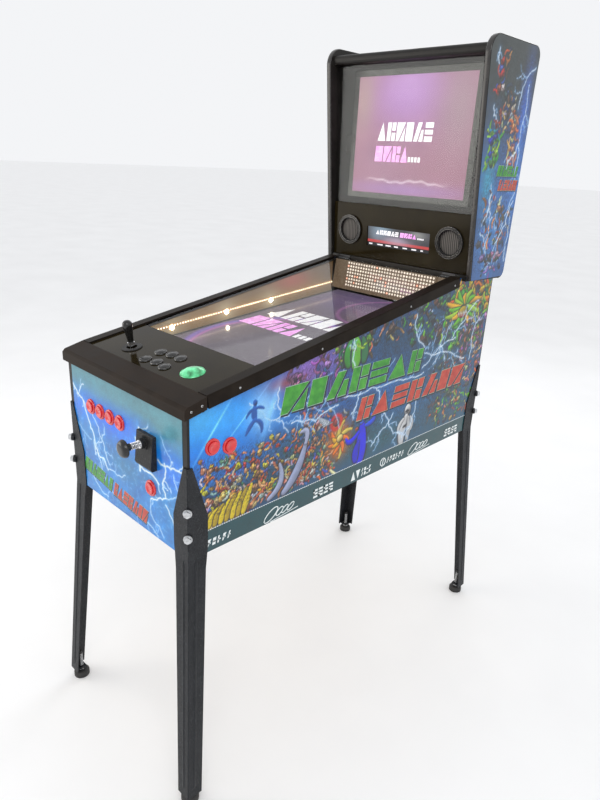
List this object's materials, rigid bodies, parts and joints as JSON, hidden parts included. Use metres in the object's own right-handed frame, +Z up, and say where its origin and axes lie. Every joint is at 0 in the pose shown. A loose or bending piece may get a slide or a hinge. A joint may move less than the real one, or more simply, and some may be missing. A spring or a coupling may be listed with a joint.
{
  "type": "pinball machine",
  "caption": "Standing pinball cabinet on splayed legs, with a sloping glass-covered display, plunger, push buttons, joystick, and an upright display head that folds forward.",
  "frame": {"origin": "floor level, under the middle of the whole machine's length and width", "axes": "+X to the player's right, +Y from the player towards the backbox, +Z up"},
  "size_m": [0.5404, 1.1692, 1.648],
  "materials": {
    "cabinet_art": "printed vinyl over fibreboard, satin",
    "backbox_art": "printed vinyl over fibreboard, satin",
    "black_board": "black laminate",
    "bare_board": "bare fibreboard",
    "lock_bar_black": "black powder coat, satin",
    "rail_black": "black powder coat, satin",
    "black_acrylic": "polished",
    "clear_glass": "polished",
    "display": "satin bezel, glossy panel",
    "led_strip": "translucent",
    "matrix_board": "matt board",
    "button_red": "polished",
    "button_black": "polished",
    "dome_green": "translucent, polished",
    "moulded_black": "fine texture",
    "bright_steel": "polished",
    "zinc_steel": "zinc plated",
    "leg_steel": "hammered powder coat",
    "foot_black": "moulded",
    "speaker_black": "polished ring",
    "speaker_cone": "woven cloth"
  },
  "bodies": {
    "cabinet": {"leveller_front_right": "foot_black", "leveller_front_left": "foot_black", "leveller_rear_right": "foot_black", "leveller_rear_left": "foot_black", "side_panel_right": "cabinet_art", "side_panel_left": "cabinet_art", "front_panel": "cabinet_art", "rear_panel": "black_board", "floor_panel": "bare_board", "rear_shelf": "black_board", "corner_blocks": "bare_board", "lock_bar": "lock_bar_black", "side_rails": "rail_black", "control_panel": "black_acrylic", "playfield_glass": "clear_glass", "playfield_monitor": "display", "led_strips": "led_strip", "matrix_panel": "matrix_board", "button_housings": "button_red", "joystick_base": "moulded_black", "plunger_housing": "moulded_black", "plunger_spring": "zinc_steel", "legs": "leg_steel", "leg_bolts": "zinc_steel", "power_inlet": "moulded_black", "computer": "moulded_black", "hinge_lower": "zinc_steel"},
    "backbox": {"backbox_side_right": "backbox_art", "backbox_side_left": "backbox_art", "backbox_top": "black_board", "backbox_floor": "black_board", "backbox_rear": "black_board", "backbox_glass": "clear_glass", "backbox_monitor": "display", "speaker_panel": "black_acrylic", "speaker_rings": "speaker_black", "speaker_drivers": "speaker_cone", "hinge_upper": "zinc_steel"},
    "plunger": {"plunger_rod": "bright_steel", "plunger_knob": "moulded_black"},
    "joystick_gimbal": {"joystick_gimbal": "zinc_steel"},
    "joystick_stick": {"joystick_shaft": "bright_steel", "joystick_handle": "button_black"},
    "front_button_1": {"front_button_1": "button_red"},
    "front_button_2": {"front_button_2": "button_red"},
    "front_button_3": {"front_button_3": "button_red"},
    "front_button_4": {"front_button_4": "button_red"},
    "launch_button": {"launch_button": "button_red"},
    "flipper_button_right_front": {"flipper_button_right_front": "button_red"},
    "flipper_button_right_rear": {"flipper_button_right_rear": "button_red"},
    "flipper_button_left_front": {"flipper_button_left_front": "button_red"},
    "flipper_button_left_rear": {"flipper_button_left_rear": "button_red"},
    "panel_button_1": {"panel_button_1": "button_black"},
    "panel_button_2": {"panel_button_2": "button_black"},
    "panel_button_3": {"panel_button_3": "button_black"},
    "panel_button_4": {"panel_button_4": "button_black"},
    "panel_button_5": {"panel_button_5": "button_black"},
    "panel_button_6": {"panel_button_6": "button_black"},
    "dome_button": {"dome_button": "dome_green"},
    "power_rocker": {"power_rocker": "moulded_black"}
  },
  "joints": [
    {"name": "backbox_fold", "type": "hinge", "parent": "cabinet", "child": "backbox", "pos_m": [0, 0.36491, 1.08], "axis": [1, 0, 0], "range_deg": [0, 90]},
    {"name": "plunger_pull", "type": "slide", "parent": "cabinet", "child": "plunger", "axis": [0, -1, 0], "range_m": [0, 0.045], "stiffness_N_per_m": 150, "springref_m": -0.02, "deforming": ["plunger_spring"]},
    {"name": "joystick_fore_aft", "type": "hinge", "parent": "cabinet", "child": "joystick_gimbal", "pos_m": [-0.101, -0.42657, 0.92764], "axis": [1, 0, 0], "range_deg": [-10, 10], "stiffness_Nm_per_rad": 1},
    {"name": "joystick_left_right", "type": "hinge", "parent": "joystick_gimbal", "child": "joystick_stick", "pos_m": [-0.101, -0.42657, 0.92764], "axis": [0, 0.9859, 0.1676], "range_deg": [-10, 10], "stiffness_Nm_per_rad": 1},
    {"name": "front_button_1_press", "type": "slide", "parent": "cabinet", "child": "front_button_1", "axis": [0, 1, 0], "range_m": [0, 0.003], "stiffness_N_per_m": 200, "springref_m": -0.004},
    {"name": "front_button_2_press", "type": "slide", "parent": "cabinet", "child": "front_button_2", "axis": [0, 1, 0], "range_m": [0, 0.003], "stiffness_N_per_m": 200, "springref_m": -0.004},
    {"name": "front_button_3_press", "type": "slide", "parent": "cabinet", "child": "front_button_3", "axis": [0, 1, 0], "range_m": [0, 0.003], "stiffness_N_per_m": 200, "springref_m": -0.004},
    {"name": "front_button_4_press", "type": "slide", "parent": "cabinet", "child": "front_button_4", "axis": [0, 1, 0], "range_m": [0, 0.003], "stiffness_N_per_m": 200, "springref_m": -0.004},
    {"name": "launch_button_press", "type": "slide", "parent": "cabinet", "child": "launch_button", "axis": [0, 1, 0], "range_m": [0, 0.003], "stiffness_N_per_m": 200, "springref_m": -0.004},
    {"name": "flipper_button_right_front_press", "type": "slide", "parent": "cabinet", "child": "flipper_button_right_front", "axis": [-1, 0, 0], "range_m": [0, 0.003], "stiffness_N_per_m": 200, "springref_m": -0.004},
    {"name": "flipper_button_right_rear_press", "type": "slide", "parent": "cabinet", "child": "flipper_button_right_rear", "axis": [-1, 0, 0], "range_m": [0, 0.003], "stiffness_N_per_m": 200, "springref_m": -0.004},
    {"name": "flipper_button_left_front_press", "type": "slide", "parent": "cabinet", "child": "flipper_button_left_front", "axis": [1, 0, 0], "range_m": [0, 0.003], "stiffness_N_per_m": 200, "springref_m": -0.004},
    {"name": "flipper_button_left_rear_press", "type": "slide", "parent": "cabinet", "child": "flipper_button_left_rear", "axis": [1, 0, 0], "range_m": [0, 0.003], "stiffness_N_per_m": 200, "springref_m": -0.004},
    {"name": "panel_button_1_press", "type": "slide", "parent": "cabinet", "child": "panel_button_1", "axis": [0, 0.1676, -0.9859], "range_m": [0, 0.0025], "stiffness_N_per_m": 200, "springref_m": -0.004},
    {"name": "panel_button_2_press", "type": "slide", "parent": "cabinet", "child": "panel_button_2", "axis": [0, 0.1676, -0.9859], "range_m": [0, 0.0025], "stiffness_N_per_m": 200, "springref_m": -0.004},
    {"name": "panel_button_3_press", "type": "slide", "parent": "cabinet", "child": "panel_button_3", "axis": [0, 0.1676, -0.9859], "range_m": [0, 0.0025], "stiffness_N_per_m": 200, "springref_m": -0.004},
    {"name": "panel_button_4_press", "type": "slide", "parent": "cabinet", "child": "panel_button_4", "axis": [0, 0.1676, -0.9859], "range_m": [0, 0.0025], "stiffness_N_per_m": 200, "springref_m": -0.004},
    {"name": "panel_button_5_press", "type": "slide", "parent": "cabinet", "child": "panel_button_5", "axis": [0, 0.1676, -0.9859], "range_m": [0, 0.0025], "stiffness_N_per_m": 200, "springref_m": -0.004},
    {"name": "panel_button_6_press", "type": "slide", "parent": "cabinet", "child": "panel_button_6", "axis": [0, 0.1676, -0.9859], "range_m": [0, 0.0025], "stiffness_N_per_m": 200, "springref_m": -0.004},
    {"name": "dome_button_press", "type": "slide", "parent": "cabinet", "child": "dome_button", "axis": [0, 0.1676, -0.9859], "range_m": [0, 0.003], "stiffness_N_per_m": 200, "springref_m": -0.004},
    {"name": "power_switch", "type": "hinge", "parent": "cabinet", "child": "power_rocker", "pos_m": [0.105, 0.53741, 0.69], "axis": [1, 0, 0], "range_deg": [0, 12]}
  ]
}
